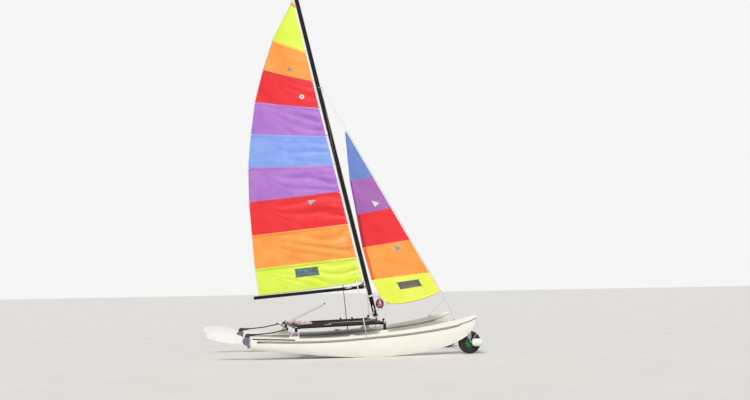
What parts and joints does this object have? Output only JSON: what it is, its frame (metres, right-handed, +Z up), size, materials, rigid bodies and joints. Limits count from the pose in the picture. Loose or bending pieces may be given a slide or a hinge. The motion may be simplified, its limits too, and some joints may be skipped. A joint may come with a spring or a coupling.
{
  "type": "beach catamaran sailboat",
  "caption": "Open beach catamaran: slim hulls under a framed trampoline, raked turning mast, battened main and jib in colour panels, kick-up rudders, bow dolly.",
  "frame": {"origin": "on the floor under the middle of the whole boat's bounding box", "axes": "+X forward to the bows, +Y to port, +Z up"},
  "size_m": [6.2191, 2.426, 8.9054],
  "materials": {
    "hull_gelcoat": "gloss",
    "strake_rubber": "satin",
    "cover_grey": "satin",
    "frame_black": "satin",
    "mast_black": "satin",
    "casting_grey": "satin",
    "stainless": "satin",
    "wire": "satin",
    "trampoline_mesh": "matte",
    "sail_lime": "satin",
    "sail_orange": "satin",
    "sail_red": "satin",
    "sail_purple": "satin",
    "sail_blue": "satin",
    "sail_white": "satin",
    "sail_window": "gloss",
    "batten_white": "satin",
    "blade_white": "gloss",
    "float_white": "gloss",
    "stick_grey": "satin",
    "dolly_grey": "satin",
    "rim_green": "satin",
    "tyre": "matte",
    "rope": "matte"
  },
  "bodies": {
    "platform": {"starboard_hull": "hull_gelcoat", "port_hull": "hull_gelcoat", "rubbing_strakes": "strake_rubber", "deck_ports": "cover_grey", "pylon_feet": "hull_gelcoat", "corner_castings": "frame_black", "pylons": "frame_black", "front_crossbar": "frame_black", "rear_crossbar": "frame_black", "side_rails": "frame_black", "trampoline": "trampoline_mesh", "dolphin_striker": "stainless", "traveller": "frame_black", "mast_step": "casting_grey", "dolly_frame": "dolly_grey", "bow_fenders": "float_white", "jib": "sail_blue", "stay_shackle": "stainless", "forestay": "wire", "shrouds": "wire", "chainplates": "stainless", "bow_tangs": "stainless", "bridle": "wire", "rudder_gudgeons": "stainless"},
    "mast": {"mast": "mast_black", "mast_base": "frame_black", "hound_tang": "stainless", "masthead_float": "float_white", "gooseneck": "stainless"},
    "boom": {"boom": "mast_black", "boom_fittings": "casting_grey", "mainsail": "sail_lime", "main_battens": "batten_white", "headboard": "casting_grey"},
    "starboard_rudder": {"starboard_rudder_casting": "casting_grey", "starboard_tiller_arm": "frame_black"},
    "port_rudder": {"port_rudder_casting": "casting_grey", "port_tiller_arm": "frame_black"},
    "starboard_blade": {"starboard_rudder_blade": "blade_white"},
    "port_blade": {"port_rudder_blade": "blade_white"},
    "tiller_bar": {"tiller_crossbar": "frame_black", "hiking_stick": "stick_grey"},
    "starboard_wheel": {"starboard_dolly_tyre": "tyre", "starboard_dolly_rim": "rim_green"},
    "port_wheel": {"port_dolly_tyre": "tyre", "port_dolly_rim": "rim_green"}
  },
  "joints": [
    {"name": "mast_rotation", "type": "hinge", "parent": "platform", "child": "mast", "pos_m": [0.84287, 0, 0.85991], "axis": [-0.2229, 0, 0.9748], "range_deg": [-32, 32]},
    {"name": "boom_swing", "type": "hinge", "parent": "mast", "child": "boom", "pos_m": [0.59191, 0, 1.55441], "axis": [-0.2346, 0, 0.9721], "range_deg": [-27, 27]},
    {"name": "starboard_steer", "type": "hinge", "parent": "platform", "child": "starboard_rudder", "pos_m": [-2.211, -1.105, 0.385], "axis": [0, 0, 1], "range_deg": [-40, 40]},
    {"name": "port_steer", "type": "hinge", "parent": "platform", "child": "port_rudder", "pos_m": [-2.211, 1.105, 0.385], "axis": [0, 0, 1], "range_deg": [-40, 40]},
    {"name": "tiller_bar_turn", "type": "hinge", "parent": "starboard_rudder", "child": "tiller_bar", "pos_m": [-1.375, -1.105, 0.686], "axis": [0, 0, 1], "range_deg": [-40, 40]},
    {"name": "starboard_kick", "type": "hinge", "parent": "starboard_rudder", "child": "starboard_blade", "pos_m": [-2.293, -1.105, 0.402], "axis": [0, -1, 0], "range_deg": [0, 98]},
    {"name": "port_kick", "type": "hinge", "parent": "port_rudder", "child": "port_blade", "pos_m": [-2.293, 1.105, 0.402], "axis": [0, -1, 0], "range_deg": [0, 98]},
    {"name": "starboard_wheel_spin", "type": "hinge", "parent": "platform", "child": "starboard_wheel", "pos_m": [2.825, -0.955, 0.258], "axis": [0, 1, 0], "continuous": true},
    {"name": "port_wheel_spin", "type": "hinge", "parent": "platform", "child": "port_wheel", "pos_m": [2.825, 0.955, 0.258], "axis": [0, 1, 0], "continuous": true}
  ],
  "couplings": [
    {"joint": "port_steer", "follows": "starboard_steer", "ratio": 1},
    {"joint": "tiller_bar_turn", "follows": "starboard_steer", "ratio": -1}
  ]
}
